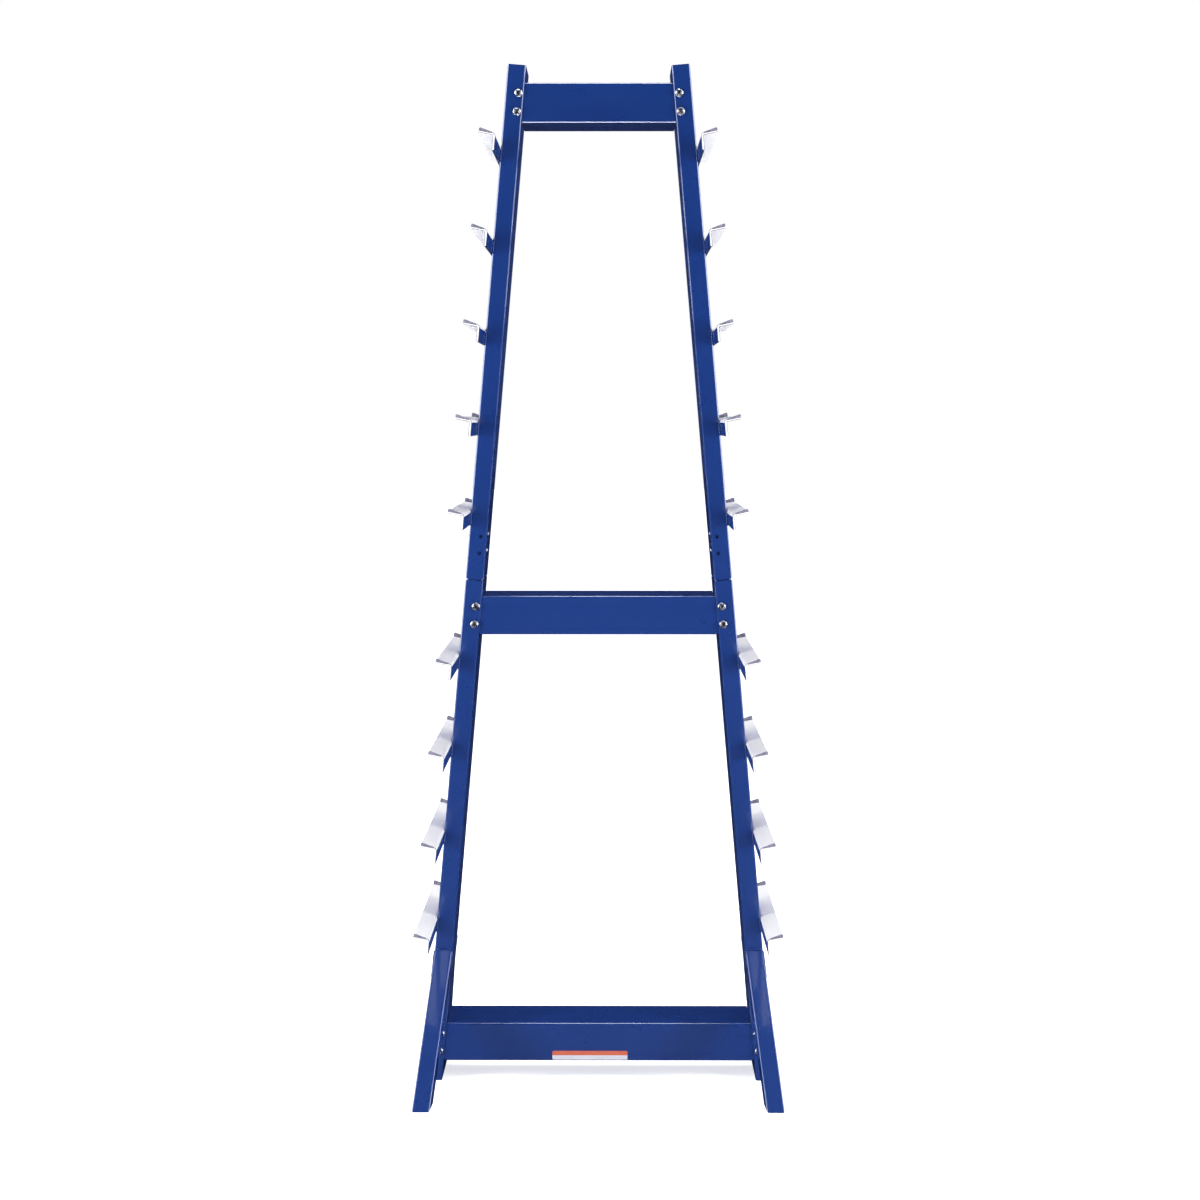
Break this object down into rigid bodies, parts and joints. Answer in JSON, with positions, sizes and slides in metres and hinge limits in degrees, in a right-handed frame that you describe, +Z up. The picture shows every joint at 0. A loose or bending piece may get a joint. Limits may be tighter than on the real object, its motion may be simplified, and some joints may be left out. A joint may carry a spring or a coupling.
{
  "type": "cantilever rack",
  "caption": "Floor-standing A-shaped bar rack of blue enamelled sheet steel, with tiers of sloping ledge arms up both sides of two leaning columns and splayed legs.",
  "frame": {"origin": "on the floor, in the middle of the rack seen from above", "axes": "+Z up, +X to the right seen from the front, +Y from the front to the back; the arms run along Y"},
  "size_m": [0.7586, 0.61, 2.1337],
  "materials": {
    "blue_enamel": "glossy baked enamel",
    "pale_enamel": "satin pale grey enamel",
    "zinc": "bright zinc plate",
    "label_film": "satin film"
  },
  "bodies": {
    "root": {"arm_left_1": "pale_enamel", "arm_left_2": "pale_enamel", "arm_left_3": "pale_enamel", "arm_left_4": "pale_enamel", "arm_left_5": "pale_enamel", "arm_left_6": "pale_enamel", "arm_left_7": "pale_enamel", "arm_left_8": "pale_enamel", "arm_left_9": "pale_enamel", "arm_right_1": "pale_enamel", "arm_right_2": "pale_enamel", "arm_right_3": "pale_enamel", "arm_right_4": "pale_enamel", "arm_right_5": "pale_enamel", "arm_right_6": "pale_enamel", "arm_right_7": "pale_enamel", "arm_right_8": "pale_enamel", "arm_right_9": "pale_enamel", "bolt_bottom_left_high": "zinc", "bolt_bottom_left_low": "zinc", "bolt_bottom_right_high": "zinc", "bolt_bottom_right_low": "zinc", "bolt_middle_left_high": "zinc", "bolt_middle_left_low": "zinc", "bolt_middle_right_high": "zinc", "bolt_middle_right_low": "zinc", "bolt_top_left_high": "zinc", "bolt_top_left_low": "zinc", "bolt_top_right_high": "zinc", "bolt_top_right_low": "zinc", "crossbar_bottom": "blue_enamel", "crossbar_middle": "blue_enamel", "crossbar_top": "blue_enamel", "front_leg_left": "blue_enamel", "front_leg_right": "blue_enamel", "label_plate": "label_film", "lower_column_left": "blue_enamel", "lower_column_right": "blue_enamel", "nut_bottom_left_high": "zinc", "nut_bottom_left_low": "zinc", "nut_bottom_right_high": "zinc", "nut_bottom_right_low": "zinc", "nut_middle_left_high": "zinc", "nut_middle_left_low": "zinc", "nut_middle_right_high": "zinc", "nut_middle_right_low": "zinc", "nut_top_left_high": "zinc", "nut_top_left_low": "zinc", "nut_top_right_high": "zinc", "nut_top_right_low": "zinc", "rear_leg_left": "blue_enamel", "rear_leg_right": "blue_enamel", "splice_left": "blue_enamel", "splice_right": "blue_enamel", "splice_rivet_left_1": "zinc", "splice_rivet_left_2": "zinc", "splice_rivet_right_1": "zinc", "splice_rivet_right_2": "zinc", "upper_column_left": "blue_enamel", "upper_column_right": "blue_enamel"}
  },
  "joints": []
}
